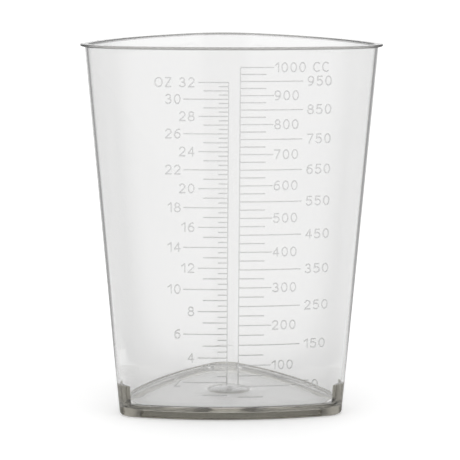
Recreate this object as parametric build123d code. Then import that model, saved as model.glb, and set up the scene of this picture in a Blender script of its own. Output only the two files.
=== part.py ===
from build123d import *
from math import cos, pi, radians, sin, sqrt, tan
import os

# Graduated pouring container: one thin-walled clear moulding, triangular in plan.
#
# Frame: the origin is on the body's axis at the level of the foot, +Z points up to the open
# rim. The graduated side faces -Y and the corner opposite it points along +Y.
#
# Plan outline: three bowed sides joined by three round corners, all of them arcs. Every wall
# leans out by one draft angle, so the outline at any level is the foot's outline moved
# outwards by a single distance and all the arcs keep their centres on the way up.
#
# Lengths are in millimetres and angles in degrees.

# Body, measured on the outside at the foot.
HEIGHT = 153.5
SIDE_REACH = 35.8
SIDE_BOW_RADIUS = 138.5
CORNER_RADIUS = 8.1
DRAFT_ANGLE = 5.0
WALL = 1.2

# Base: a floor raised above a foot ring, with rounded edges inside and outside.
FLOOR_TOP = 5.3
FLOOR_THICKNESS = 2.0
FOOT_RING_WIDTH = 1.6
FOOT_EDGE_RADIUS = 1.5
FLOOR_EDGE_RADIUS = 0.9
RECESS_EDGE_RADIUS = 0.5
RECESS_CORNER_RADIUS = 2.0

# Rim: a thin flange that turns outwards round the mouth.
LIP_OVERHANG = 1.8
LIP_THICKNESS = 1.0
LIP_EDGE_RADIUS = 0.4
LIP_ROOT_RADIUS = 0.6
MOUTH_EDGE_RADIUS = 0.4

# Corner lugs: flat-faced blocks in the three inner corners, on which the next container rests
# when the containers are stacked, and the solid foot pads under them.
LUG_HEIGHT = 7.9
LUG_DEPTH = 1.4
FOOT_PAD_DEPTH = 4.0

# Gate: the shallow dome in the middle of the floor where the mould was filled.
GATE_DIAMETER = 18.0
GATE_RISE = 1.0
GATE_STUB_DIAMETER = 2.4
GATE_STUB_LENGTH = 0.8

# Scales: raised lines on the outside of the front wall.
LINE_WIDTH = 0.42
LINE_RELIEF = 0.25
LINE_ROOT = 0.3
SPINE_SPACING = 4.6
CC_STEP = 25
CC_TOP = 1000
OZ_IN_CC = 29.5735
OZ_STEP = 0.5
OZ_BOTTOM = 1.0
OZ_TOP = 32
SPINE_BOTTOM_CC = 50
CC_25_LINE_END = 12.4
CC_50_LINE_END = 27.1
CC_100_LINE_END = 15.4
OZ_HALF_LINE_END = 6.0
OZ_1_LINE_END = 12.0
OZ_2_LINE_END = 19.9
OZ_4_LINE_END = 14.0

# Margin by which cutting bodies overshoot the faces that they cut.
OVERSHOOT = 1.0

CUBIC_MM_IN_CC = 1000
LEVEL_TOLERANCE = 0.001

SIDES = 3
TURN = 360 / SIDES
DRAFT_RISE = tan(radians(DRAFT_ANGLE))
SIDE_CENTRE = SIDE_BOW_RADIUS - SIDE_REACH
CORNER_CENTRE = (
    sqrt(4 * (SIDE_BOW_RADIUS - CORNER_RADIUS) ** 2 - 3 * SIDE_CENTRE ** 2) - SIDE_CENTRE
) / 2
LUG_TOP = FLOOR_TOP + LUG_HEIGHT
FLOOR_UNDERSIDE = FLOOR_TOP - FLOOR_THICKNESS


def wall_offset(level, inwards=0.0):
    """Distance from the foot's outline to the outline at a level, less a depth inwards."""
    return level * DRAFT_RISE - inwards


def outline(offset, corner_cut=0.0):
    """Plan face of the body, its outline moved outwards by an offset.

    A corner cut takes that depth off the tip of every corner with a straight chord.
    """
    side_radius = SIDE_BOW_RADIUS + offset
    corner_radius = CORNER_RADIUS + offset
    side_centre = Vector(0, SIDE_CENTRE)
    corner_centre = Vector(CORNER_CENTRE, 0).rotate(Axis.Z, -TURN / 4)
    meeting = side_centre + (corner_centre - side_centre).normalized() * side_radius
    side = ThreePointArc(
        Vector(-meeting.X, meeting.Y),
        side_centre - Vector(0, side_radius),
        meeting,
    )
    corner = ThreePointArc(
        meeting,
        corner_centre + corner_centre.normalized() * corner_radius,
        Vector(-meeting.X, meeting.Y).rotate(Axis.Z, TURN),
    )
    edges = [edge.rotate(Axis.Z, k * TURN) for k in range(SIDES) for edge in (side, corner)]
    face = make_face(Wire(edges))
    if corner_cut:
        face &= chord_triangle(CORNER_CENTRE + corner_radius - corner_cut)
    return face


def chord_triangle(reach):
    """Triangle whose sides stand square across the corner directions at a reach."""
    return RegularPolygon(radius=reach, side_count=SIDES, major_radius=False, rotation=TURN / 4)


def drafted(bottom, top, inwards=0.0, corner_cut=0.0):
    """Solid between two levels, its walls parallel to the body's and a depth inside them."""
    foot = Pos(Z=bottom) * outline(wall_offset(bottom, inwards), corner_cut)
    return extrude(foot, amount=top - bottom, taper=-DRAFT_ANGLE)


def bottom_edges(solid):
    """Edges of the lowest flat face of a solid."""
    return solid.faces().sort_by(Axis.Z)[0].edges()


def top_edges(solid):
    """Edges of the highest flat face of a solid."""
    return solid.faces().sort_by(Axis.Z)[-1].edges()


def flat_faces(solid):
    """Level faces of a solid, from the lowest to the highest."""
    return solid.faces().filter_by(Plane.XY).sort_by(Axis.Z)


def body():
    """Outer form: the drafted body with a rounded foot and the lip round its mouth."""
    walls = fillet(bottom_edges(drafted(0, HEIGHT)), FOOT_EDGE_RADIUS)
    lip_face = outline(wall_offset(HEIGHT) + LIP_OVERHANG)
    lip = extrude(Pos(Z=HEIGHT - LIP_THICKNESS) * lip_face, amount=LIP_THICKNESS)
    lip = fillet(top_edges(lip) + bottom_edges(lip), LIP_EDGE_RADIUS)
    joined = walls + lip
    lip_underside = flat_faces(joined)[-2]
    return fillet(lip_underside.inner_wires()[0].edges(), LIP_ROOT_RADIUS)


def cavity():
    """Inside of the container: an upper part, and a lower part between the corner lugs."""
    upper = drafted(LUG_TOP, HEIGHT + OVERSHOOT, WALL)
    lower = drafted(FLOOR_TOP, LUG_TOP, WALL, LUG_DEPTH)
    lower = fillet(bottom_edges(lower), FLOOR_EDGE_RADIUS)
    return upper + lower


def foot_recess():
    """Space under the floor, inside the foot ring and between the solid foot pads."""
    face = outline(-FOOT_RING_WIDTH, FOOT_PAD_DEPTH)
    face = fillet(face.vertices(), RECESS_CORNER_RADIUS)
    recess = extrude(face, amount=FLOOR_UNDERSIDE, taper=DRAFT_ANGLE)
    recess = fillet(top_edges(recess), RECESS_EDGE_RADIUS)
    return recess + extrude(face, amount=-OVERSHOOT)


def gate_dome(level):
    """Shallow spherical cap that stands on a level."""
    ball_radius = ((GATE_DIAMETER / 2) ** 2 + GATE_RISE ** 2) / (2 * GATE_RISE)
    ball = Pos(Z=level + GATE_RISE - ball_radius) * Sphere(ball_radius)
    above = Pos(Z=level) * Cylinder(
        GATE_DIAMETER, ball_radius, align=(Align.CENTER, Align.CENTER, Align.MIN)
    )
    return ball & above


def gate_stub():
    """What is left of the sprue, standing down from the roof of the gate's recess."""
    roof = FLOOR_UNDERSIDE + GATE_RISE
    return Pos(Z=roof - GATE_STUB_LENGTH) * Cylinder(
        GATE_STUB_DIAMETER / 2,
        GATE_STUB_LENGTH + FLOOR_THICKNESS / 2,
        align=(Align.CENTER, Align.CENTER, Align.MIN),
    )


def held_volume(depth):
    """Volume of liquid that stands to a depth over the floor, in cubic millimetres.

    When the outline moves outwards by s, its area grows by girth * s + pi * s * s. The walls
    lean out evenly, so the volume is a cubic in the depth.
    """
    shift = depth * DRAFT_RISE
    return depth * (FLOOR_AREA + FLOOR_GIRTH * shift / 2 + pi * shift ** 2 / 3)


def fill_level(volume_cc):
    """Level of the liquid's surface when the container holds a volume, found by halving."""
    volume = volume_cc * CUBIC_MM_IN_CC
    low, high = 0.0, volume / FLOOR_AREA
    while high - low > LEVEL_TOLERANCE:
        middle = (low + high) / 2
        if held_volume(middle) < volume:
            low = middle
        else:
            high = middle
    return FLOOR_TOP + low


def line_between(start, end, level):
    """Level line of the scale between two distances from the front's middle."""
    return Pos((start + end) / 2, level) * Rectangle(abs(end - start), LINE_WIDTH)


def cc_line_end(volume):
    """Distance from the front's middle to the outer end of a line of the cc scale."""
    if volume % 100 == 0:
        return CC_100_LINE_END
    if volume % 50 == 0:
        return CC_50_LINE_END
    return CC_25_LINE_END


def oz_line_end(ounces):
    """Distance from the front's middle to the outer end of a line of the oz scale."""
    if ounces % 4 == 0:
        return OZ_4_LINE_END
    if ounces % 2 == 0:
        return OZ_2_LINE_END
    if ounces % 1 == 0:
        return OZ_1_LINE_END
    return OZ_HALF_LINE_END


def cc_scale():
    """Flat pattern of the cc scale: its spine and its lines to the right of it."""
    spine = SPINE_SPACING / 2
    volumes = range(CC_STEP, CC_TOP + CC_STEP, CC_STEP)
    lines = [line_between(spine, cc_line_end(cc), fill_level(cc)) for cc in volumes]
    return lines + [spine_between(spine, fill_level(CC_TOP))]


def oz_scale():
    """Flat pattern of the oz scale: its spine and its lines to the left of it."""
    spine = -SPINE_SPACING / 2
    count = round((OZ_TOP - OZ_BOTTOM) / OZ_STEP) + 1
    ounces = [OZ_BOTTOM + k * OZ_STEP for k in range(count)]
    lines = [line_between(spine, -oz_line_end(oz), fill_level(oz * OZ_IN_CC)) for oz in ounces]
    return lines + [spine_between(spine, fill_level(OZ_TOP * OZ_IN_CC))]


def spine_between(x, top):
    """Upright line at a distance from the front's middle, up to a top level."""
    bottom = fill_level(SPINE_BOTTOM_CC)
    height = top - bottom + LINE_WIDTH
    return Pos(x, (top + bottom) / 2) * Rectangle(LINE_WIDTH, height)


def graduations():
    """Raised scale lines: the flat pattern carried onto the slope and bow of the front."""
    pattern = Sketch() + cc_scale() + oz_scale()
    prism = extrude(Plane.XZ * pattern, amount=SIDE_REACH * 2)
    skin = drafted(0, HEIGHT, -LINE_RELIEF) - drafted(0, HEIGHT, LINE_ROOT)
    return prism & skin


def container():
    """The whole moulding."""
    shell = body() - cavity()
    mouth = flat_faces(shell)[-1].inner_wires()[0]
    shell = fillet(mouth.edges(), MOUTH_EDGE_RADIUS) - foot_recess()
    floor = shell + gate_dome(FLOOR_TOP) - gate_dome(FLOOR_UNDERSIDE) + gate_stub()
    return floor + graduations()


FLOOR_SECTION = outline(wall_offset(FLOOR_TOP, WALL)).face()
FLOOR_AREA = FLOOR_SECTION.area
FLOOR_GIRTH = FLOOR_SECTION.outer_wire().length

os.makedirs("parts", exist_ok=True)
part = container()
part.label = "container"
export_step(part, "parts/container.step")
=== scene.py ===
"""Graduated pouring container: a clear three-cornered moulding on a white studio table.

The container is one clear plastic moulding. Its wall, rim, foot and floor are one profile
carried round the plan outline, and the scale's lines and figures are round-topped ridges
joined onto the outside of the front wall. Everything is in metres, in the frame of the CAD
model: the axis of the body is Z, the foot stands on Z = 0 and the graduated side faces -Y.
"""

import logging
import math
from collections import defaultdict
from dataclasses import dataclass, field
from enum import Enum, IntEnum
from typing import Iterable, Sequence

import bmesh
import bpy
from mathutils import Matrix, Vector

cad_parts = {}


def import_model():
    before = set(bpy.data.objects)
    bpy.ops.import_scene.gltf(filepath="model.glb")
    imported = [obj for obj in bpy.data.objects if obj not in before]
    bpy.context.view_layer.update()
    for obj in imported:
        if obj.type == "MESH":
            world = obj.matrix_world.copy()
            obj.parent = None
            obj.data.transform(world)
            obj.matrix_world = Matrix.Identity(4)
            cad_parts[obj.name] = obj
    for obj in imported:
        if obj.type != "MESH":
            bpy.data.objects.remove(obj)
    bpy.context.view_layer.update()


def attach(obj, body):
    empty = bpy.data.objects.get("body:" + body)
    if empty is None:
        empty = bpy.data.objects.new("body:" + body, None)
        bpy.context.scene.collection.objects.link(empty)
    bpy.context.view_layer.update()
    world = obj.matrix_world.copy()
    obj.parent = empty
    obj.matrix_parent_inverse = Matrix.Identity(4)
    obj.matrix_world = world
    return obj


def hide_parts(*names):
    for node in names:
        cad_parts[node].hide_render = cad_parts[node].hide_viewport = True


LOG = logging.getLogger("container_scene")
MM = 0.001
NODE = "container"
BODY = "root"
ARC_STEP = 15

Flat = tuple[float, float]
Colour = tuple[float, float, float, float]


def spread(first: float, last: float, count: int) -> list[float]:
    """Return evenly spaced numbers from the first to the last, one more than the count."""
    return [first + (last - first) * i / count for i in range(count + 1)]


def arc_points(
    across: float, up: float, reach: float, rise: float, first: float, last: float, count: int = 0
) -> list[Flat]:
    """Return points of an elliptical arc, with its two ends.

    Args:
        across: Centre's place, across.
        up: Centre's place, up.
        reach: Half width of the whole ellipse.
        rise: Half height of the whole ellipse.
        first: Angle of the first point, in degrees.
        last: Angle of the last point, in degrees.
        count: Number of steps, or 0 for steps of about ARC_STEP degrees.

    Returns:
        The points, in their order.
    """
    count = count or max(2, round(abs(last - first) / ARC_STEP))
    angles = [math.radians(angle) for angle in spread(first, last, count)]
    return [(across + reach * math.cos(angle), up + rise * math.sin(angle)) for angle in angles]


def bridge(mesh: bmesh.types.BMesh, rings: Sequence[Sequence]) -> None:
    """Join each ring of vertices to the next one with quads.

    Args:
        mesh: Mesh that the quads go into.
        rings: Closed rings, all of the same count.
    """
    for one, other in zip(rings, rings[1:]):
        for i, vert in enumerate(one):
            j = (i + 1) % len(one)
            mesh.faces.new((vert, one[j], other[j], other[i]))


class Finish(IntEnum):
    """Finishes of the moulding, by their material's place in the mesh. The scale, thick and rim finishes
    carry painted shade in their tints, the thick one together with the plastic's own tint.
    """

    CLEAR = 0
    SCALE = 1
    THICK = 2
    RIM = 3


class Layer(IntEnum):
    """Ridges that may be one mesh, because no two of them touch.

    A sign's further strokes go into the layers after the first strokes' own.
    """

    LINES = 0
    SPINES = 1
    FIRST_STROKES = 2


@dataclass(frozen=True)
class PlanSizes:
    """Outline of the body at the foot, measured outside."""

    side_reach: float = 35.8 * MM
    side_bow: float = 138.5 * MM
    corner: float = 8.1 * MM
    draft: float = math.radians(5.0)
    side_samples: int = 56
    corner_samples: int = 72

    @property
    def side_centre(self) -> float:
        """Distance from the axis to the centre of a side's arc, beyond the far corner."""
        return self.side_bow - self.side_reach

    @property
    def corner_centre(self) -> float:
        """Distance from the axis to the centre of a corner's arc."""
        across = 4 * (self.side_bow - self.corner) ** 2 - 3 * self.side_centre ** 2
        return (math.sqrt(across) - self.side_centre) / 2

    def offset(self, level: float, inwards: float = 0.0) -> float:
        """Return how far the outline at a level lies outside the foot's outline.

        Args:
            level: Height over the foot.
            inwards: Depth measured level into the wall.

        Returns:
            The outward shift, in metres.
        """
        return level * math.tan(self.draft) - inwards


@dataclass(frozen=True)
class ProfileSizes:
    """Section of the moulding: wall, floor, rim and foot."""

    height: float = 153.5 * MM
    wall: float = 1.2 * MM
    floor_top: float = 5.3 * MM
    floor_underside: float = 3.3 * MM
    foot_ring: float = 1.6 * MM
    foot_edge: float = 1.5 * MM
    floor_edge: float = 0.9 * MM
    recess_edge: float = 0.5 * MM
    lip_overhang: float = 1.8 * MM
    lip_thickness: float = 1.0 * MM
    lip_edge: float = 0.48 * MM
    lip_root: float = 0.6 * MM
    mouth_edge: float = 0.4 * MM
    lug_top: float = 13.2 * MM
    lug_depth: float = 1.4 * MM
    pad_depth: float = 4.0 * MM


@dataclass(frozen=True)
class GateSizes:
    """Shallow dome in the middle of the floor."""

    radius: float = 9.0 * MM
    rise: float = 1.0 * MM
    stub_radius: float = 1.2 * MM
    stub_length: float = 0.8 * MM
    stub_centre_share: float = 0.5
    rings: int = 10


class Outline:
    """Plan outline of the body, as a closed row of points with their outward normals."""

    SIDES = 3
    TURN = math.radians(120)
    CORNER_ANGLE = math.radians(-30)

    def __init__(self, sizes: PlanSizes) -> None:
        """Sample the outline once, at the foot.

        Args:
            sizes: Arcs of the outline and how finely they are divided.
        """
        self.sizes = sizes
        self.base: list[Vector] = []
        self.normals: list[Vector] = []
        self._sample()

    def _sample(self) -> None:
        """Fill the row: three times a side's arc and then a corner's arc."""
        sizes = self.sizes
        side_centre = Vector((0.0, sizes.side_centre))
        corner_out = Vector((math.cos(self.CORNER_ANGLE), math.sin(self.CORNER_ANGLE)))
        corner_centre = sizes.corner_centre * corner_out
        end = math.atan2(corner_centre.y - side_centre.y, corner_centre.x)
        start = -math.pi - end
        for k in range(self.SIDES):
            spin = Matrix.Rotation(k * self.TURN, 2)
            for centre, radius, first, last, count in (
                (side_centre, sizes.side_bow, start, end, sizes.side_samples),
                (corner_centre, sizes.corner, end, start + self.TURN, sizes.corner_samples),
            ):
                for angle in spread(first, last, count)[:-1]:
                    normal = Vector((math.cos(angle), math.sin(angle)))
                    self.base.append(spin @ (centre + radius * normal))
                    self.normals.append(spin @ normal)

    def ring(self, offset: float, level: float, corner_cut: float = 0.0) -> list[Vector]:
        """Return the outline's points at a level.

        Args:
            offset: Outward shift from the foot's outline.
            level: Height of the points.
            corner_cut: Depth taken off the tip of each corner by a straight chord.

        Returns:
            One point for each sample of the outline.
        """
        tip = self.sizes.corner_centre + self.sizes.corner + offset
        points = []
        for base, normal in zip(self.base, self.normals):
            flat = base + normal * offset
            if corner_cut:
                flat = self._behind_chord(flat, tip - corner_cut)
            points.append(Vector((flat.x, flat.y, level)))
        return points

    def _behind_chord(self, flat: Vector, reach: float) -> Vector:
        """Move a point that lies beyond a corner's chord straight back onto the chord.

        Args:
            flat: Point in plan.
            reach: Distance from the axis to the chord.

        Returns:
            The point, moved where that was needed.
        """
        for k in range(self.SIDES):
            angle = math.pi / 2 + k * self.TURN
            out = Vector((math.cos(angle), math.sin(angle)))
            beyond = flat.dot(out) - reach
            if beyond > 0:
                return flat - out * beyond
        return flat

    def beyond(self, x: float, y: float) -> float:
        """Return how far a place in plan lies outside the foot's outline.

        Args:
            x: Distance to the right of the axis.
            y: Distance behind the axis.

        Returns:
            The distance, negative inside the outline.
        """
        sizes = self.sizes
        flat = Vector((x, y))
        corner_across = sizes.corner_centre * math.cos(self.CORNER_ANGLE)
        corner_ahead = sizes.side_centre - sizes.corner_centre * math.sin(self.CORNER_ANGLE)
        corner_half_angle = self.TURN / 2 - math.atan2(corner_across, corner_ahead)
        distances = []
        for k in range(self.SIDES):
            spin = Matrix.Rotation(k * self.TURN, 2)
            side_centre = spin @ Vector((0.0, sizes.side_centre))
            corner_centre = spin @ Vector((0.0, sizes.corner_centre))
            distances.append((flat - side_centre).length - sizes.side_bow)
            past = flat - corner_centre
            if past.length and past.angle(corner_centre) < corner_half_angle:
                return past.length - sizes.corner
        return max(distances)

    def front(self, x: float, level: float, height: float = 0.0) -> Vector:
        """Return a point on the outside of the front wall.

        Args:
            x: Distance to the right of the front's middle.
            level: Height over the foot.
            height: How far the point stands off the wall.

        Returns:
            The point, in metres.
        """
        radius = self.sizes.side_bow + self.sizes.offset(level)
        depth = math.sqrt(radius ** 2 - x ** 2)
        on_wall = Vector((x, self.sizes.side_centre - depth, level))
        return on_wall + self.front_normal(x, level) * height

    def front_normal(self, x: float, level: float) -> Vector:
        """Return the front wall's outward normal at a point of it.

        Args:
            x: Distance to the right of the front's middle.
            level: Height over the foot.

        Returns:
            The normal, of length 1.
        """
        radius = self.sizes.side_bow + self.sizes.offset(level)
        level_part = Vector((x / radius, -math.sqrt(1 - (x / radius) ** 2), 0))
        return level_part * math.cos(self.sizes.draft) - Vector((0, 0, math.sin(self.sizes.draft)))


class Shell:
    """Mesh of the bare moulding: one profile carried round the outline, and two floors."""

    ARC_STEPS = 6
    FLAT_STEPS = 4
    WALL_STEP = 12.0 * MM
    MERGE_DISTANCE = 0.0001 * MM

    def __init__(self, outline: Outline, profile: ProfileSizes, gate: GateSizes) -> None:
        """Keep the sizes that the mesh is made from, and the slopes that its sections share.

        Args:
            outline: Plan outline.
            profile: Section of the moulding.
            gate: Dome in the floor.
        """
        self.outline = outline
        self.profile = profile
        self.gate = gate
        self.lean = math.degrees(outline.sizes.draft)
        self.rise = math.tan(outline.sizes.draft)
        self.tangent = math.tan(math.radians(90 - self.lean) / 2)
        self.mesh = bmesh.new()

    def arc(self, centre: Flat, radius: float, first: float, last: float) -> list[Flat]:
        """Return points of an arc of the section, with its angles in degrees."""
        return arc_points(*centre, radius, radius, first, last, self.ARC_STEPS)

    def straight(self, start: Flat, end: Flat) -> list[Flat]:
        """Return points inside a straight stretch of the section.

        Args:
            start: Where the stretch starts.
            end: Where the stretch ends.

        Returns:
            The points about WALL_STEP apart, without the two ends.
        """
        count = max(1, round(math.dist(start, end) / self.WALL_STEP))
        across, up = (spread(one, other, count)[1:-1] for one, other in zip(start, end))
        return list(zip(across, up))

    def outer_section(self) -> list[Flat]:
        """Draw the section's outer side, from the foot to the mouth.

        Returns:
            Points as offset from the foot's outline and level.
        """
        sizes = self.profile
        foot_centre = (-sizes.foot_edge * self.tangent, sizes.foot_edge)
        foot = self.arc(foot_centre, sizes.foot_edge, -90, -self.lean)
        under = sizes.height - sizes.lip_thickness
        root_centre = (self.rise * under + sizes.lip_root * self.tangent, under - sizes.lip_root)
        root = self.arc(root_centre, sizes.lip_root, 180 - self.lean, 90)
        tip = self.rise * sizes.height + sizes.lip_overhang
        lower = self.arc((tip - sizes.lip_edge, under + sizes.lip_edge), sizes.lip_edge, -90, 0)
        upper = self.arc((tip - sizes.lip_edge, sizes.height - sizes.lip_edge), sizes.lip_edge, 0, 90)
        solid_foot = [(self.rise * level, level) for level in (sizes.floor_top, sizes.lug_top)]
        wall = self.straight(solid_foot[-1], root[0])
        return foot + solid_foot + wall + root + lower + upper

    def inner_section(self) -> list[Flat]:
        """Draw the section's inner side, from the mouth down to the top of the lugs.

        Returns:
            Points as offset from the foot's outline and level.
        """
        sizes = self.profile
        mouth_across = self.rise * sizes.height - sizes.wall + sizes.mouth_edge * self.tangent
        mouth_centre = (mouth_across, sizes.height - sizes.mouth_edge)
        mouth = self.arc(mouth_centre, sizes.mouth_edge, 90, 180 - self.lean)
        end = (self.rise * sizes.lug_top - sizes.wall, sizes.lug_top)
        return mouth + self.straight(mouth[-1], end) + [end]

    def lug_section(self) -> list[Flat]:
        """Draw the section's inner side between the top of the lugs and the floor.

        Returns:
            Points as offset from the foot's outline and level.
        """
        sizes = self.profile
        start = (self.rise * sizes.lug_top - sizes.wall, sizes.lug_top)
        edge_across = self.rise * sizes.floor_top - sizes.wall - sizes.floor_edge * self.tangent
        edge = self.arc((edge_across, sizes.floor_top + sizes.floor_edge), sizes.floor_edge, -self.lean, -90)
        return [start] + self.straight(start, edge[0]) + edge

    def recess_section(self) -> list[Flat]:
        """Draw the section of the recess under the floor, from its roof to the foot.

        Returns:
            Points as offset from the foot's outline and level.
        """
        sizes = self.profile
        wall_top = -sizes.foot_ring - self.rise * sizes.floor_underside
        centre = (wall_top - sizes.recess_edge * self.tangent, sizes.floor_underside - sizes.recess_edge)
        edge = self.arc(centre, sizes.recess_edge, 90, self.lean)
        return edge + [(-sizes.foot_ring, 0.0)]

    def add_ring(self, offset: float, level: float, corner_cut: float = 0.0) -> list[bmesh.types.BMVert]:
        """Add the vertices of one ring of the moulding."""
        return [self.mesh.verts.new(point) for point in self.outline.ring(offset, level, corner_cut)]

    def carry_on(self, previous: Sequence, points: Iterable[Sequence[float]]) -> list:
        """Add a ring of vertices and join it to the previous ring.

        Args:
            previous: Ring that is already there.
            points: Places of the new vertices, as many.

        Returns:
            The new ring.
        """
        ring = [self.mesh.verts.new(point) for point in points]
        bridge(self.mesh, (previous, ring))
        return ring

    def floor_rings(self, edge: Sequence, level: float, top_side: bool) -> None:
        """Close a floor inside its edge ring, with the gate's dome in the middle.

        Args:
            edge: Ring of vertices round the floor.
            level: Level of the floor's flat part.
            top_side: Whether this is the floor's top. The underside has the stub of the gate.
        """
        gate = self.gate
        places = [Vector((vert.co.x, vert.co.y)) for vert in edge]
        bearings = [place.normalized() for place in places]
        previous = list(edge)
        for k in range(1, self.FLAT_STEPS + 1):
            share = k / self.FLAT_STEPS
            flat = [place.lerp(bearing * gate.radius, share) for place, bearing in zip(places, bearings)]
            previous = self.carry_on(previous, [(*at, level) for at in flat])
        ball = (gate.radius ** 2 + gate.rise ** 2) / (2 * gate.rise)
        inner = 0.0 if top_side else gate.stub_radius
        circles = [
            (radius, level + math.sqrt(ball ** 2 - radius ** 2) - (ball - gate.rise))
            for radius in spread(gate.radius, inner, gate.rings)[1:-1]
        ]
        crown = level + gate.rise
        if not top_side:
            stub_end = crown - gate.stub_length
            circles += [
                (gate.stub_radius, crown),
                (gate.stub_radius, stub_end),
                (gate.stub_radius * gate.stub_centre_share, stub_end),
            ]
            crown = stub_end
        for radius, height in circles:
            previous = self.carry_on(previous, [(*(bearing * radius), height) for bearing in bearings])
        centre = self.mesh.verts.new((0, 0, crown))
        for i, vert in enumerate(previous):
            self.mesh.faces.new((vert, previous[(i + 1) % len(previous)], centre))

    def build(self) -> bmesh.types.BMesh:
        """Make the closed mesh.

        Returns:
            The bare moulding.
        """
        sizes = self.profile
        rows = [(*point, 0.0) for point in self.outer_section() + self.inner_section()]
        rows += [(*point, sizes.lug_depth) for point in self.lug_section()]
        rings = [self.add_ring(*row) for row in rows]
        bridge(self.mesh, rings)
        self.floor_rings(rings[-1], sizes.floor_top, top_side=True)
        recess = [self.add_ring(*point, sizes.pad_depth) for point in self.recess_section()]
        bridge(self.mesh, recess + rings[:1])
        self.floor_rings(recess[0], sizes.floor_underside, top_side=False)
        bmesh.ops.remove_doubles(self.mesh, verts=self.mesh.verts, dist=self.MERGE_DISTANCE)
        bmesh.ops.recalc_face_normals(self.mesh, faces=self.mesh.faces)
        return self.mesh


def to_object(mesh: bmesh.types.BMesh, name: str) -> bpy.types.Object:
    """Turn a bmesh into an object of the scene and free it.

    Args:
        mesh: The mesh to be used up.
        name: Name of the object and its mesh.

    Returns:
        The new object.
    """
    data = bpy.data.meshes.new(name)
    mesh.to_mesh(data)
    mesh.free()
    piece = bpy.data.objects.new(name, data)
    bpy.context.scene.collection.objects.link(piece)
    return piece


class Figures:
    """Plain engraver's figures, each a few strokes in a cell 1 high."""

    WIDTH = 0.62
    NARROW = {"1": 0.36, "O": 0.80, "Z": 0.58, "C": 0.64}

    @classmethod
    def width(cls, sign: str) -> float:
        """Return the width of a sign's cell."""
        return cls.NARROW.get(sign, cls.WIDTH)

    @classmethod
    def strokes(cls, sign: str) -> list[list[Flat]]:
        """Return the strokes of a figure or letter.

        Args:
            sign: One of the ten figures, O, Z or C.

        Returns:
            Smooth rows of points. A row whose ends meet is a closed stroke, and rows of one
            sign may cross.
        """
        wide = cls.width(sign)
        table = {
            "0": [arc_points(wide / 2, 0.5, wide / 2, 0.5, 90, 450)],
            "1": [[(wide, 0.0), (wide, 1.0)], [(wide, 1.0), (0.0, 0.74)]],
            "2": [arc_points(0.31, 0.71, 0.29, 0.29, 165, -30) + [(0.0, 0.0)], [(0.0, 0.0), (wide, 0.0)]],
            "3": [
                arc_points(0.29, 0.755, 0.26, 0.245, 150, -90),
                arc_points(0.29, 0.26, 0.32, 0.26, 90, -150),
            ],
            "4": [[(0.46, 0.0), (0.46, 1.0)], [(0.46, 1.0), (0.0, 0.3)], [(0.0, 0.3), (wide, 0.3)]],
            "5": [
                [(0.56, 1.0), (0.1, 1.0)],
                [(0.1, 1.0), (0.05, 0.55)],
                arc_points(0.28, 0.32, 0.33, 0.32, 135, -145),
            ],
            "6": [arc_points(0.48, 0.33, 0.47, 0.66, 80, 180), arc_points(0.32, 0.31, 0.30, 0.31, 90, 450)],
            "7": [[(0.0, 1.0), (wide, 1.0)], [(wide, 1.0), (0.2, 0.0)]],
            "8": [
                arc_points(0.31, 0.765, 0.25, 0.235, -90, 270),
                arc_points(0.31, 0.265, 0.31, 0.265, 90, 450),
            ],
            "9": [arc_points(0.14, 0.67, 0.47, 0.66, -100, 0), arc_points(0.30, 0.69, 0.30, 0.31, -90, 270)],
            "O": [arc_points(wide / 2, 0.5, wide / 2, 0.5, 90, 450)],
            "C": [arc_points(0.40, 0.5, 0.40, 0.5, 55, 305)],
            "Z": [[(0.0, 1.0), (wide, 1.0)], [(wide, 1.0), (0.0, 0.0)], [(0.0, 0.0), (wide, 0.0)]],
        }
        return table[sign]


class Side(IntEnum):
    """Side of the front's middle that something is on, with the sign of the distances there."""

    LEFT = -1
    RIGHT = 1


@dataclass(frozen=True)
class Graduation:
    """One volume scale, with its ends and numbers by the volume that a line is a multiple of."""

    unit: str
    unit_left: float
    side: Side
    in_cc: float
    bottom: float
    top: float
    step: float
    ends: dict[float, float]
    numbers: dict[float, float]


CC_SCALE = Graduation(
    unit="CC",
    unit_left=31.4 * MM,
    side=Side.RIGHT,
    in_cc=1.0,
    bottom=25.0,
    top=1000.0,
    step=25.0,
    ends={100: 15.4 * MM, 50: 27.1 * MM, 25: 12.4 * MM},
    numbers={100: 16.1 * MM, 50: 29.3 * MM},
)
OZ_SCALE = Graduation(
    unit="OZ",
    unit_left=-31.3 * MM,
    side=Side.LEFT,
    in_cc=29.5735,
    bottom=1.0,
    top=32.0,
    step=0.5,
    ends={4: 14.0 * MM, 2: 19.9 * MM, 1: 12.0 * MM, 0.5: 6.0 * MM},
    numbers={4: 15.9 * MM, 2: 21.4 * MM},
)


@dataclass(frozen=True)
class ScaleSizes:
    """Lines and figures that the two volume scales share."""

    line_radius: float = 0.23 * MM
    figure_radius: float = 0.25 * MM
    sink: float = 0.22 * MM
    figure_height: float = 3.55 * MM
    figure_gap: float = 1.35 * MM
    spine: float = 2.3 * MM
    spine_bottom_cc: float = 50.0
    cc_in_m3: float = 1e-6
    graduations: tuple[Graduation, ...] = (CC_SCALE, OZ_SCALE)


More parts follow.
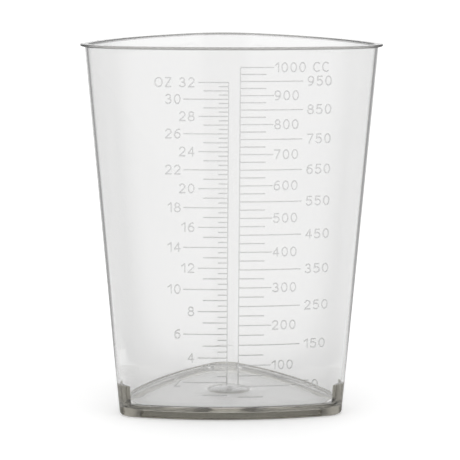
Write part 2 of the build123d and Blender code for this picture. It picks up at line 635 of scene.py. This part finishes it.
class Scale:
    """Raised scale on the front wall: two spines, the level lines and the figures."""

    ARCH_STEPS = 6
    END_ANGLES = (30.0, 58.0, 80.0)
    FOOT_WIDTH = 0.9
    LINE_STEP = 4.0 * MM
    SPINE_STEP = 8.0 * MM
    CLOSED_SHARE = 0.1
    LEAST_MITRE = 0.5
    LEVEL_ROUNDS = 30

    def __init__(self, outline: Outline, profile: ProfileSizes, sizes: ScaleSizes) -> None:
        """Work out the volume below each level.

        Args:
            outline: Plan outline.
            profile: Section of the moulding.
            sizes: Sizes of the scales.
        """
        self.outline = outline
        self.profile = profile
        self.sizes = sizes
        floor = outline.ring(outline.sizes.offset(profile.floor_top, profile.wall), 0.0)
        pairs = list(zip(floor, floor[1:] + floor[:1]))
        self.area = sum(here.x * after.y - after.x * here.y for here, after in pairs) / 2
        self.girth = sum((after - here).length for here, after in pairs)
        self.layers: dict[int, bmesh.types.BMesh] = defaultdict(bmesh.new)

    def level(self, volume_cc: float) -> float:
        """Return the level to which a volume fills the container.

        Args:
            volume_cc: Volume in cubic centimetres.

        Returns:
            Height over the foot, in metres.
        """
        volume = volume_cc * self.sizes.cc_in_m3
        lean = math.tan(self.outline.sizes.draft)
        depth = volume / self.area
        for _ in range(self.LEVEL_ROUNDS):
            shift = depth * lean
            held = depth * (self.area + self.girth * shift / 2 + math.pi * shift ** 2 / 3)
            section = self.area + self.girth * shift + math.pi * shift ** 2
            depth += (volume - held) / section
        return self.profile.floor_top + depth

    def ridge(self, path: Sequence[Flat], radius: float, index: int) -> None:
        """Add one round-topped ridge that follows the front wall.

        Args:
            path: Points as distance from the front's middle and level. It may be closed.
            radius: Half the ridge's width, and its height.
            index: Layer that the ridge goes into.
        """
        mesh = self.layers[index]
        closed = math.dist(path[0], path[-1]) < radius * self.CLOSED_SHARE
        points = [Vector(point) for point in (path[:-1] if closed else path)]
        count = len(points)
        stations = []
        for i, here in enumerate(points):
            before = points[i - 1] if closed or i > 0 else here
            after = points[(i + 1) % count] if closed or i < count - 1 else here
            stations.append((here, *self._mitre(before, here, after)))
        if not closed:
            stations = self._rounded(stations, radius)
        rings = [
            self._arch(mesh, here, side * (grow * radius), radius * min(grow, 1.0))
            for here, side, grow in stations
        ]
        bridge(mesh, rings + rings[:1] if closed else rings)
        if not closed:
            mesh.faces.new(rings[0])
            mesh.faces.new(list(reversed(rings[-1])))

    def _mitre(self, before: Vector, here: Vector, after: Vector) -> tuple[Vector, float]:
        """Work out how a ridge turns at a point of its path.

        Args:
            before: Point before it.
            here: The point.
            after: Point after it.

        Returns:
            The sideways direction there, and how much the ridge's width grows.
        """
        arriving, leaving = here - before, after - here
        if arriving.length == 0:
            arriving = leaving
        if leaving.length == 0:
            leaving = arriving
        along = (arriving.normalized() + leaving.normalized()).normalized()
        return Vector((-along.y, along.x)), 1 / max(along.dot(arriving.normalized()), self.LEAST_MITRE)

    def _rounded(self, stations: list, radius: float) -> list:
        """Add the narrowing sections of a round end before and after an open ridge's own.

        Args:
            stations: Place, sideways direction and growth of each section.
            radius: Half the ridge's width.

        Returns:
            The longer row of sections.
        """
        (first, first_side, _), (last, last_side, _) = stations[0], stations[-1]
        back = Vector((-first_side.y, first_side.x))
        onward = Vector((last_side.y, -last_side.x))
        head, tail = [], []
        for angle in map(math.radians, self.END_ANGLES):
            reach, share = radius * math.sin(angle), math.cos(angle)
            head.insert(0, (first + back * reach, first_side, share))
            tail.append((last + onward * reach, last_side, share))
        return head + stations + tail

    def _arch(self, mesh: bmesh.types.BMesh, here: Vector, width: Vector, height: float) -> list:
        """Add one section of a ridge: half round over the wall, flat inside it.

        Args:
            mesh: Mesh of the ridge's layer.
            here: Place of the section, as distance from the front's middle and level.
            width: From the middle of the section to its side.
            height: How far its top stands off the wall.

        Returns:
            The section's vertices.
        """
        verts = []
        for angle in spread(0.0, math.pi, self.ARCH_STEPS):
            at = here + width * math.cos(angle)
            verts.append(mesh.verts.new(self.outline.front(at.x, at.y, height * math.sin(angle))))
        for sign in (-1, 1):
            at = here + width * (self.FOOT_WIDTH * sign)
            verts.append(mesh.verts.new(self.outline.front(at.x, at.y, -self.sizes.sink)))
        return verts

    def word(self, text: str, edge: float, level: float, side: Side) -> None:
        """Set a word or number with its middle at a level.

        Args:
            text: What is set.
            edge: Distance of one of its edges from the front's middle.
            level: Level of the middle of its height.
            side: Side of that edge on which the word stands.
        """
        sizes = self.sizes
        height = sizes.figure_height
        widths = [Figures.width(sign) * height for sign in text]
        total = sum(widths) + sizes.figure_gap * (len(text) - 1)
        x = edge if side is Side.RIGHT else edge - total
        for sign, width in zip(text, widths):
            for k, stroke in enumerate(Figures.strokes(sign)):
                path = [(x + across * height, level + (up - 0.5) * height) for across, up in stroke]
                self.ridge(path, sizes.figure_radius, Layer.FIRST_STROKES + k)
            x += width + sizes.figure_gap

    def line(self, start: float, end: float, level: float) -> None:
        """Add a level line.

        Args:
            start: Distance of one end from the front's middle.
            end: Distance of the other end.
            level: Height over the foot.
        """
        count = max(1, round(abs(end - start) / self.LINE_STEP))
        path = [(x, level) for x in spread(start, end, count)]
        self.ridge(path, self.sizes.line_radius, Layer.LINES)

    def add(self, graduation: Graduation) -> None:
        """Add the lines, numbers, unit and spine of one scale.

        Args:
            graduation: The scale.
        """
        side, inner = graduation.side, graduation.side * self.sizes.spine
        count = round((graduation.top - graduation.bottom) / graduation.step)
        for volume in spread(graduation.bottom, graduation.top, count):
            level = self.level(volume * graduation.in_cc)
            step = next(step for step in graduation.ends if volume % step == 0)
            self.line(*sorted((inner, side * graduation.ends[step])), level)
            if step in graduation.numbers:
                self.word(str(round(volume)), side * graduation.numbers[step], level, side)
        top = self.level(graduation.top * graduation.in_cc)
        self.word(graduation.unit, graduation.unit_left, top, Side.RIGHT)
        self.spine(inner, top)

    def spine(self, x: float, top: float) -> None:
        """Add the upright line of a scale.

        Args:
            x: Distance from the front's middle.
            top: Level of its upper end.
        """
        bottom = self.level(self.sizes.spine_bottom_cc)
        count = round((top - bottom) / self.SPINE_STEP)
        path = [(x, level) for level in spread(bottom, top, count)]
        self.ridge(path, self.sizes.line_radius, Layer.SPINES)

    def build(self) -> list[bpy.types.Object]:
        """Make the ridges.

        Returns:
            One object for each layer, whose ridges don't touch one another.
        """
        for graduation in self.sizes.graduations:
            self.add(graduation)
        pieces = []
        for index, mesh in sorted(self.layers.items()):
            bmesh.ops.recalc_face_normals(mesh, faces=mesh.faces)
            pieces.append(to_object(mesh, f"scale_layer_{index}"))
        return pieces


def join_solids(base: bpy.types.Object, others: Iterable[bpy.types.Object]) -> bpy.types.Object:
    """Unite closed meshes with a base mesh and delete them.

    Args:
        base: Mesh that stays.
        others: Meshes that are joined to it.

    Returns:
        The base object with its new mesh.
    """
    for other in others:
        modifier = base.modifiers.new("join", "BOOLEAN")
        modifier.operation = "UNION"
        modifier.solver = "MANIFOLD"
        modifier.object = other
        bpy.context.view_layer.update()
        evaluated = base.evaluated_get(bpy.context.evaluated_depsgraph_get())
        mesh = bpy.data.meshes.new_from_object(evaluated)
        base.modifiers.clear()
        base.data = mesh
        bpy.data.objects.remove(other)
        LOG.info("joined %s: %d faces", base.name, len(mesh.polygons))
    return base


class Mixed(Enum):
    """What a mix node mixes: its data type, the places of its inputs and the place of its output."""

    NUMBERS = ("FLOAT", (0, 2, 3), 0)
    COLOURS = ("RGBA", (0, 6, 7), 2)


class Wiring:
    """Adds nodes to a node tree and joins them."""

    def __init__(self, tree: bpy.types.NodeTree) -> None:
        """Keep the tree that the nodes go into."""
        self.tree = tree

    def add(self, kind: str, inputs: dict[str | int, object] | None = None) -> bpy.types.Node:
        """Add a node.

        Args:
            kind: Kind of the node.
            inputs: Sources or values of its inputs, by their names or places.

        Returns:
            The node.
        """
        node = self.tree.nodes.new(kind)
        for place, value in (inputs or {}).items():
            self.feed(node.inputs[place], value)
        return node

    def feed(self, socket: bpy.types.NodeSocket, value: object) -> None:
        """Give a socket its source or its value.

        Args:
            socket: Input of a node.
            value: Socket that is joined to it, or a plain value.
        """
        if isinstance(value, bpy.types.NodeSocket):
            self.tree.links.new(value, socket)
        else:
            socket.default_value = value

    def calculate(self, operation: str, *values: object) -> bpy.types.NodeSocket:
        """Add an arithmetic node.

        Args:
            operation: What is done to the values.
            values: Numbers or sockets.

        Returns:
            Socket with the outcome.
        """
        node = self.add("ShaderNodeMath", dict(enumerate(values)))
        node.operation = operation
        return node.outputs[0]

    def span(self, value: object, source: Flat, target: Flat) -> bpy.types.NodeSocket:
        """Add a node that carries one range of values over to another, and no further.

        Args:
            value: Number or socket that is carried over.
            source: Its lowest and highest value.
            target: What the lowest and highest value become.

        Returns:
            Socket with the new value.
        """
        (low, high), (first, last) = source, target
        limits = {"From Min": low, "From Max": high, "To Min": first, "To Max": last}
        return self.add("ShaderNodeMapRange", limits | {"Value": value}).outputs["Result"]

    def mix(
        self, factor: object, one: object, other: object, kind: Mixed = Mixed.NUMBERS
    ) -> bpy.types.NodeSocket:
        """Add a node that mixes two numbers or two colours.

        Args:
            factor: Share of the second one, from 0 to 1.
            one: First number, colour or socket.
            other: Second number, colour or socket.
            kind: What is mixed.

        Returns:
            Socket with the mixture.
        """
        data_type, inputs, output = kind.value
        node = self.add("ShaderNodeMix")
        node.data_type = data_type
        for place, value in zip(inputs, (factor, one, other)):
            self.feed(node.inputs[place], value)
        return node.outputs[output]


@dataclass(frozen=True)
class ClearPlastic:
    """Clear, faintly smoky polished plastic."""

    name: str = "clear_plastic"
    tint: Colour = (0.978, 0.978, 0.976, 1.0)
    ior: float = 1.5
    roughness: float = 0.03
    haze_scale: float = 45.0
    haze_detail: float = 4.0
    haze_share: Flat = (0.4, 1.6)
    shadow_tint: Colour = (0.985, 0.985, 0.98, 1.0)

    def build(self) -> bpy.types.Material:
        """Make the material.

        Returns:
            The node-based material.
        """
        material = bpy.data.materials.new(self.name)
        material.use_nodes = True
        material.node_tree.nodes.clear()
        wiring = Wiring(material.node_tree)
        looks = {"Base Color": self.tint, "IOR": self.ior, "Transmission Weight": 1.0}
        glass = wiring.add("ShaderNodeBsdfPrincipled", looks | {"Roughness": self._add_haze(wiring)})
        clear = wiring.add("ShaderNodeBsdfTransparent", {"Color": self.shadow_tint})
        path = wiring.add("ShaderNodeLightPath")
        sources = (path.outputs["Is Shadow Ray"], glass.outputs["BSDF"], clear.outputs["BSDF"])
        choice = wiring.add("ShaderNodeMixShader", dict(enumerate(sources)))
        wiring.add("ShaderNodeOutputMaterial", {"Surface": choice.outputs["Shader"]})
        return material

    def _add_haze(self, wiring: Wiring) -> bpy.types.NodeSocket:
        """Add the cloudy change of the roughness over the surface.

        Args:
            wiring: Node tree of the material.

        Returns:
            Socket with the roughness.
        """
        place = wiring.add("ShaderNodeTexCoord").outputs["Object"]
        clouds = {"Vector": place, "Scale": self.haze_scale, "Detail": self.haze_detail}
        haze = wiring.add("ShaderNodeTexNoise", clouds)
        low, high = self.haze_share
        return wiring.span(haze.outputs["Fac"], (0.0, 1.0), (self.roughness * low, self.roughness * high))


@dataclass(frozen=True)
class ScaleFrost(ClearPlastic):
    """The same plastic where the mould was left dull, on the scale's ridges and the gate's dome, with
    painted shade: its grey tint stands in for the dark flanks that these round shapes show by refraction.
    """

    name: str = "scale_frost_and_shade"
    # Painted shade: the grey tint darkens the ridges and the dome in place of the dark that their refraction
    # shows.
    tint: Colour = (0.58, 0.58, 0.58, 1.0)
    roughness: float = 0.07


@dataclass(frozen=True)
class ThickPlastic(ClearPlastic):
    """The same plastic where it is solid, in the foot and corner lugs, so that it looks darker and tan:
    partly the thick plastic's own tint, partly painted shade where little light reaches under the floor and
    through the solid parts.
    """

    name: str = "thick_plastic_and_shade"
    # Partly painted shade: the dark tan tint stands in for the dim recess under the floor as well as the
    # thick plastic's own tint.
    tint: Colour = (0.36, 0.345, 0.30, 1.0)
    shadow_tint: Colour = (0.45, 0.45, 0.44, 1.0)


@dataclass(frozen=True)
class RimEdge(ClearPlastic):
    """The same plastic at the lip's outer edge, which looks along the lip and so reads as a dark line; its
    dark tint paints that line as shade.
    """

    name: str = "rim_edge"
    # Painted shade: the dark tint stands in for the dark line seen along the lip.
    tint: Colour = (0.28, 0.275, 0.26, 1.0)


@dataclass(frozen=True)
class MirroredLight:
    """How bright the studio is in mirrored light: pale ahead and at both sides, shaded between."""

    shaded: float = 0.35
    pale: float = 1.0
    stops: tuple[Flat, ...] = ((0.0, 1.0), (0.30, 1.0), (0.47, 0.0), (0.72, 0.05), (0.87, 0.75), (1.0, 0.8))
    behind: Flat = (-0.75, -0.25)

    def add(self, wiring: Wiring, direction: bpy.types.NodeSocket) -> bpy.types.NodeSocket:
        """Add the nodes that work out the brightness.

        Args:
            wiring: Node tree of the world or of a material.
            direction: Socket that gives a direction or a place seen from the container.

        Returns:
            Socket with the brightness.
        """
        flat = wiring.add("ShaderNodeVectorMath", {0: direction, 1: (1.0, 1.0, 0.0)})
        flat.operation = "MULTIPLY"
        unit = wiring.add("ShaderNodeVectorMath", {0: flat.outputs[0]})
        unit.operation = "NORMALIZE"
        parts = wiring.add("ShaderNodeSeparateXYZ", {0: unit.outputs[0]})
        lobes = self._add_lobes(wiring, wiring.calculate("ABSOLUTE", parts.outputs["X"]))
        ahead = wiring.span(parts.outputs["Y"], self.behind, (0.0, 1.0))
        share = wiring.calculate("MULTIPLY", lobes, ahead)
        return wiring.span(share, (0.0, 1.0), (self.shaded, self.pale))

    def _add_lobes(self, wiring: Wiring, across: bpy.types.NodeSocket) -> bpy.types.NodeSocket:
        """Add the ramp of brightness from straight ahead to straight sideways.

        Args:
            wiring: Node tree that the ramp goes into.
            across: Socket that is 0 straight ahead and 1 straight sideways.

        Returns:
            Socket with the brightness.
        """
        ramp = wiring.add("ShaderNodeValToRGB")
        stops = ramp.color_ramp.elements
        stops.remove(stops[1])
        for place, value in self.stops:
            stop = stops.new(place) if place else stops[0]
            stop.color = (value, value, value, 1.0)
        wiring.feed(ramp.inputs["Fac"], across)
        return ramp.outputs["Color"]


@dataclass(frozen=True)
class TablePaper:
    """Matt white table top, with painted shade where another surface mirrors it, and lifted to white where
    it is seen.
    """

    name: str = "table_paper"
    colour: Colour = (0.985, 0.985, 0.985, 1.0)
    lift: float = 0.16

    def build(self) -> bpy.types.Material:
        """Make the material.

        Returns:
            The node-based material.
        """
        material = bpy.data.materials.new(self.name)
        material.use_nodes = True
        wiring = Wiring(material.node_tree)
        shader = material.node_tree.nodes["Principled BSDF"]
        shader.inputs["Roughness"].default_value = 1.0
        shader.inputs["Specular IOR Level"].default_value = 0.0
        path = wiring.add("ShaderNodeLightPath")
        place = wiring.add("ShaderNodeNewGeometry")
        # Painted shade: seen in a mirror, the table takes the studio's mirrored-light pattern as its colour.
        shaded = MirroredLight().add(wiring, place.outputs["Position"])
        paper_and_painted_shade = wiring.mix(path.outputs["Glossy Depth"], self.colour, shaded, Mixed.COLOURS)
        wiring.feed(shader.inputs["Base Color"], paper_and_painted_shade)
        glow = wiring.calculate("MULTIPLY", path.outputs["Is Camera Ray"], self.lift)
        wiring.feed(shader.inputs["Emission Strength"], glow)
        shader.inputs["Emission Color"].default_value = (1.0, 1.0, 1.0, 1.0)
        return material


@dataclass(frozen=True)
class Studio:
    """White table and even white surroundings, without lamps."""

    floor_radius: float = 12.0
    floor_drop: float = 0.1 * MM
    floor_segments: int = 96
    light: float = 1.0
    overhead: Flat = (0.2, 0.8)
    steep: Flat = (0.05, 0.35)
    steep_light: float = 0.5
    bounces: int = 32

    def build_floor(self) -> bpy.types.Object:
        """Make the table top.

        Returns:
            The floor, marked as stage.
        """
        mesh = bmesh.new()
        bmesh.ops.create_circle(mesh, cap_ends=True, segments=self.floor_segments, radius=self.floor_radius)
        bmesh.ops.translate(mesh, verts=mesh.verts, vec=(0, 0, -self.floor_drop))
        floor = to_object(mesh, "table_top")
        floor.data.materials.append(TablePaper().build())
        return floor

    def allow_bounces(self) -> None:
        """Let light run along inside the clear plastic instead of ending black."""
        cycles = bpy.context.scene.cycles
        cycles.max_bounces = self.bounces
        cycles.glossy_bounces = self.bounces
        cycles.transmission_bounces = self.bounces

    def build_world(self) -> bpy.types.World:
        """Make the surroundings: white where seen, shaded where mirrored or seen through far upward.

        Returns:
            The scene's world.
        """
        world = bpy.data.worlds.new("studio")
        bpy.context.scene.world = world
        world.use_nodes = True
        world.node_tree.nodes.clear()
        wiring = Wiring(world.node_tree)
        path = wiring.add("ShaderNodeLightPath")
        direction = wiring.add("ShaderNodeTexCoord").outputs["Generated"]
        parts = wiring.add("ShaderNodeSeparateXYZ", {0: direction})
        upward = wiring.span(parts.outputs["Z"], self.overhead, (0.0, 1.0))
        mirrored = wiring.mix(upward, MirroredLight().add(wiring, direction), self.light)
        steep = wiring.span(parts.outputs["Z"], self.steep, (self.light, self.steep_light))
        through = wiring.mix(path.outputs["Is Transmission Ray"], self.light, steep)
        unseen = wiring.mix(path.outputs["Glossy Depth"], through, mirrored)
        strength = wiring.mix(path.outputs["Is Camera Ray"], unseen, self.light)
        white = {"Color": (1.0, 1.0, 1.0, 1.0), "Strength": strength}
        background = wiring.add("ShaderNodeBackground", white)
        wiring.add("ShaderNodeOutputWorld", {"Surface": background.outputs["Background"]})
        return world


@dataclass(frozen=True)
class CameraPose:
    """Camera at the photograph's viewing angle, found by fitting the outline to it."""

    distance: float = 0.8240
    height: float = 0.1986
    heading: float = -0.0407
    swing: float = 0.0403
    pitch: float = 0.1505
    roll: float = 0.0028
    focal_pixels: float = 1973.6
    frame_pixels: float = 460.0
    sensor: float = 36.0
    sight: float = 50.0

    def build(self) -> bpy.types.Object:
        """Make the scene's camera.

        Returns:
            The camera object.
        """
        data = bpy.data.cameras.new("camera")
        data.sensor_width = self.sensor
        data.lens = self.focal_pixels / self.frame_pixels * self.sensor
        data.clip_end = self.sight
        camera = bpy.data.objects.new("camera", data)
        bpy.context.scene.collection.objects.link(camera)
        swung = Matrix.Rotation(-self.swing, 4, "Z") @ Vector((0, -self.distance, self.height))
        turn = (
            Matrix.Rotation(self.heading, 4, "Z")
            @ Matrix.Rotation(math.pi / 2 - self.pitch, 4, "X")
            @ Matrix.Rotation(self.roll, 4, "Z")
        )
        camera.matrix_world = Matrix.Translation(swung) @ turn
        bpy.context.scene.camera = camera
        return camera


class FinishMap:
    """Chooses the finish of each face of the moulding from where the face lies."""

    CLEARANCE = 0.02 * MM
    SCALE_REACH = 45.0 * MM
    LEVEL_NORMAL = 0.99
    RIM_EDGE_SHARE = 1.1
    LUG_ACROSS_SHARE = 0.45
    LUG_REACH_SHARE = 0.62

    def __init__(self, outline: Outline, profile: ProfileSizes, gate: GateSizes) -> None:
        """Work out where the lip's edge and the front lugs begin.

        Args:
            outline: Plan outline.
            profile: Section of the moulding.
            gate: Dome in the floor.
        """
        self.outline = outline
        self.profile = profile
        self.gate = gate
        sizes = outline.sizes
        corner_across = sizes.corner_centre * math.cos(outline.CORNER_ANGLE)
        self.lug_across = corner_across + sizes.corner * self.LUG_ACROSS_SHARE
        self.lug_reach = sizes.corner_centre + sizes.corner * self.LUG_REACH_SHARE
        lip_reach = sizes.offset(profile.height) + profile.lip_overhang
        self.rim_offset = lip_reach - profile.lip_edge * self.RIM_EDGE_SHARE

    def _on_rim(self, at: Vector) -> bool:
        """Tell whether a place is on the lip's outer edge."""
        lip_underside = self.profile.height - self.profile.lip_thickness
        return at.z > lip_underside + self.CLEARANCE and self.outline.beyond(at.x, at.y) > self.rim_offset

    def _on_foot(self, face: bpy.types.MeshPolygon) -> bool:
        """Tell whether a face is an upright or rounded one of the foot, below the floor's top."""
        below = face.center.z < self.profile.floor_top - self.CLEARANCE
        return below and abs(face.normal.z) < self.LEVEL_NORMAL

    def _on_front_lug(self, at: Vector) -> bool:
        """Tell whether a place is on one of the two lugs at the ends of the front.

        Args:
            at: Middle of a face.

        Returns:
            Whether it is.
        """
        if not self.profile.floor_top + self.CLEARANCE < at.z < self.profile.lug_top + self.CLEARANCE:
            return False
        return at.y < 0 and abs(at.x) > self.lug_across and math.hypot(at.x, at.y) > self.lug_reach

    def _on_gate(self, at: Vector) -> bool:
        """Tell whether a place is on top of the gate's dome."""
        above = self.profile.floor_top + self.CLEARANCE < at.z < self.profile.lug_top / 2
        return above and math.hypot(at.x, at.y) < self.gate.radius

    def _on_scale(self, at: Vector) -> bool:
        """Tell whether a place stands off the front wall, on one of the scale's ridges.

        Args:
            at: Middle of a face.

        Returns:
            Whether it is.
        """
        profile, sizes = self.profile, self.outline.sizes
        level_with = profile.lug_top / 2 < at.z < profile.height - profile.wall * 2
        if at.y > 0 or abs(at.x) > self.SCALE_REACH or not level_with:
            return False
        wall = sizes.side_bow + sizes.offset(at.z)
        return math.hypot(at.x, at.y - sizes.side_centre) > wall + self.CLEARANCE

    def choose(self, face: bpy.types.MeshPolygon) -> Finish:
        """Choose the finish of one face.

        Args:
            face: Face of the moulding.

        Returns:
            Its finish.
        """
        at = face.center
        if self._on_rim(at):
            return Finish.RIM
        if self._on_foot(face) or self._on_front_lug(at):
            return Finish.THICK
        if self._on_scale(at) or self._on_gate(at):
            return Finish.SCALE
        return Finish.CLEAR

    def apply(self, piece: bpy.types.Object) -> None:
        """Give each face of the moulding its finish.

        Args:
            piece: The moulding, with its materials in the order of Finish.
        """
        places = [int(self.choose(face)) for face in piece.data.polygons]
        piece.data.polygons.foreach_set("material_index", places)
        for finish in Finish:
            LOG.info("%s finish: %d faces", finish.name.lower(), places.count(finish))


@dataclass(frozen=True)
class Container:
    """The whole moulding: shell, scales and finishes."""

    name: str = "container_clear"
    plan: PlanSizes = field(default_factory=PlanSizes)
    profile: ProfileSizes = field(default_factory=ProfileSizes)
    gate: GateSizes = field(default_factory=GateSizes)
    scale: ScaleSizes = field(default_factory=ScaleSizes)
    sharp_from: float = math.radians(42)

    def build(self) -> bpy.types.Object:
        """Make the dressed moulding, with its scales.

        Returns:
            The piece that stands for the container's node.
        """
        outline = Outline(self.plan)
        shell = to_object(Shell(outline, self.profile, self.gate).build(), self.name)
        piece = join_solids(shell, Scale(outline, self.profile, self.scale).build())
        self.dress(piece, outline)
        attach(piece, BODY)
        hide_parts(NODE)
        LOG.info("%s: %d faces", piece.name, len(piece.data.polygons))
        return piece

    def dress(self, piece: bpy.types.Object, outline: Outline) -> None:
        """Give the moulding its materials and its smooth and sharp edges.

        Args:
            piece: The moulding with its scales.
            outline: Plan outline.
        """
        materials = {
            Finish.CLEAR: ClearPlastic(),
            Finish.SCALE: ScaleFrost(),
            Finish.THICK: ThickPlastic(),
            Finish.RIM: RimEdge(),
        }
        piece.data.materials.clear()
        for finish in Finish:
            piece.data.materials.append(materials[finish].build())
        FinishMap(outline, self.profile, self.gate).apply(piece)
        piece.data.polygons.foreach_set("use_smooth", [True] * len(piece.data.polygons))
        piece.data.set_sharp_from_angle(angle=self.sharp_from)


def main() -> None:
    """Build the scene in order."""
    logging.basicConfig(level=logging.INFO, format="%(name)s: %(message)s")
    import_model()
    bpy.context.scene.view_settings.view_transform = "Standard"
    Container().build()
    studio = Studio()
    studio.build_floor()
    studio.build_world()
    studio.allow_bounces()
    CameraPose().build()


if __name__ == "__main__":
    main()
